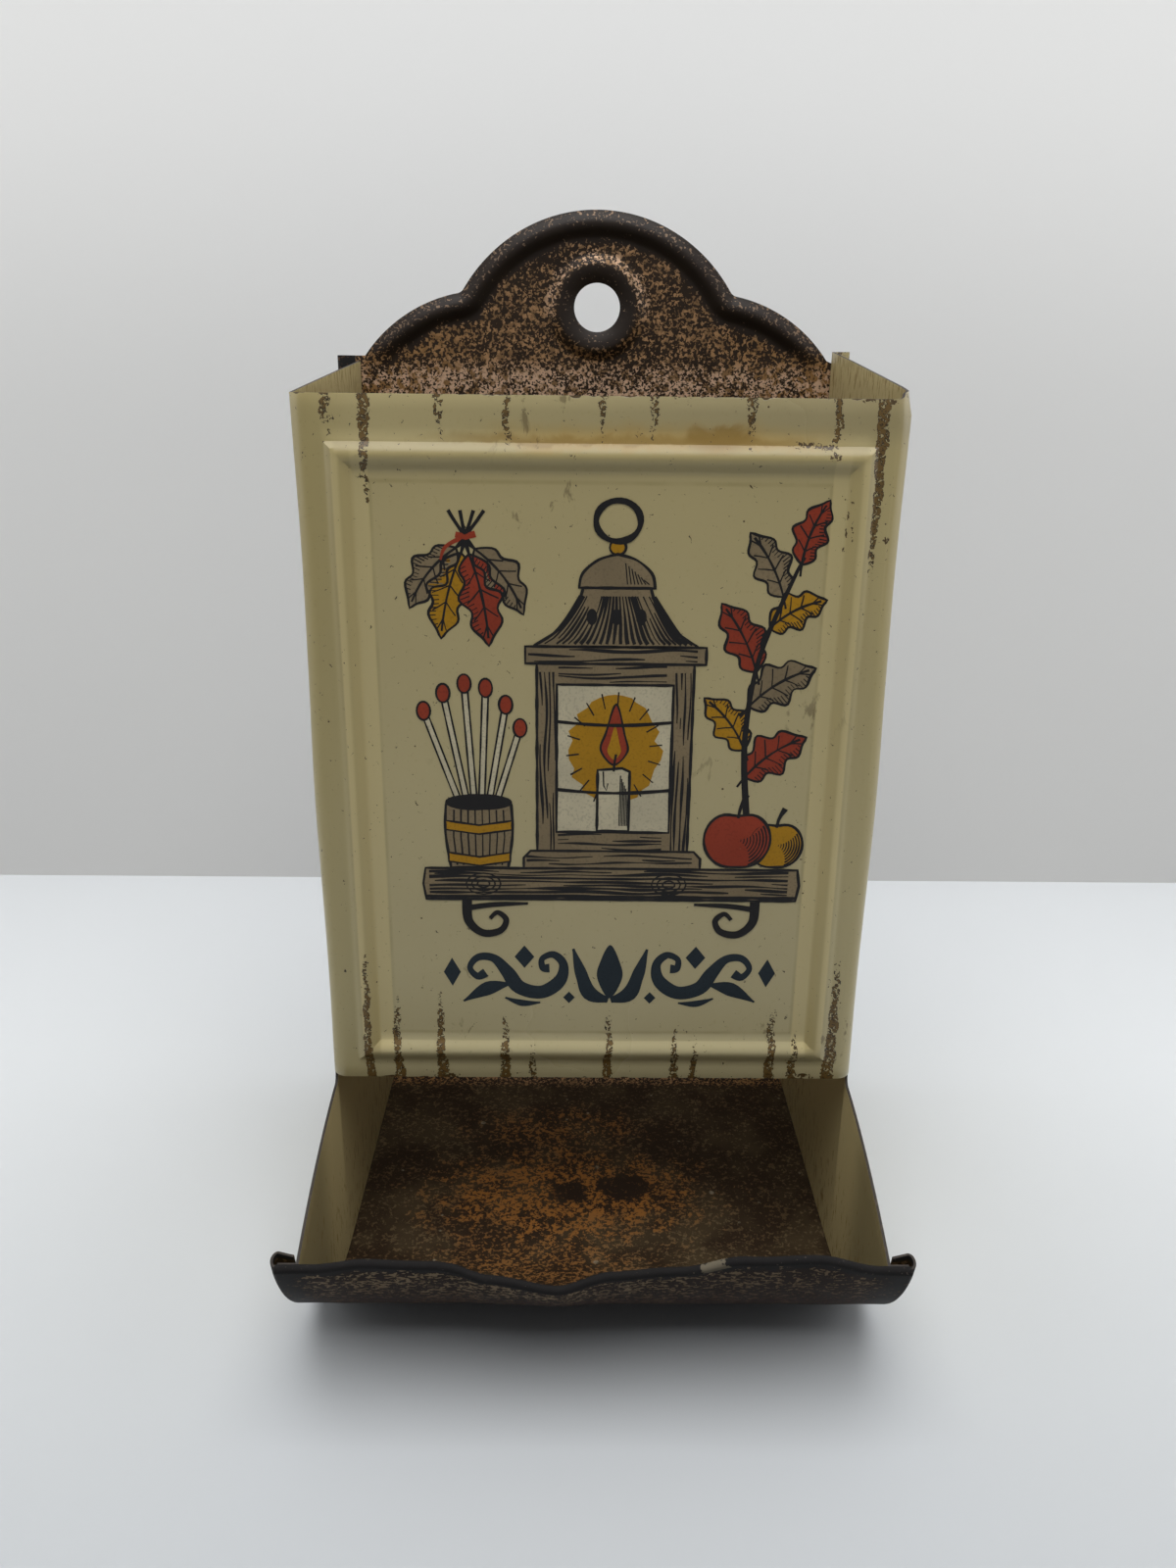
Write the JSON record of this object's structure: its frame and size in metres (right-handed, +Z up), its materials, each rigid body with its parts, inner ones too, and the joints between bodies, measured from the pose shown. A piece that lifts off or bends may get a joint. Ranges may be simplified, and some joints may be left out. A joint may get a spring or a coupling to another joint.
{
  "type": "match holder",
  "caption": "Wall-hung sheet-metal match holder: open-topped painted box with a framed front, scalloped bronze back plate with a hanging hole, and a scooped catch tray below.",
  "frame": {"origin": "on the table under the middle of the holder's outline, where the flat floor of the tray rests", "axes": "+Z up, +Y towards the wall, +X to the right of someone who faces the front panel"},
  "size_m": [0.089, 0.088, 0.1664],
  "materials": {
    "cream_paint": "satin cream enamel with brown streaks, specks and worn edges",
    "bronze_mottle": "antique bronze mottling, copper specks on brown-black, satin gloss"
  },
  "bodies": {
    "root": {"body_shell": "cream_paint", "back_and_tray": "bronze_mottle"}
  },
  "joints": []
}
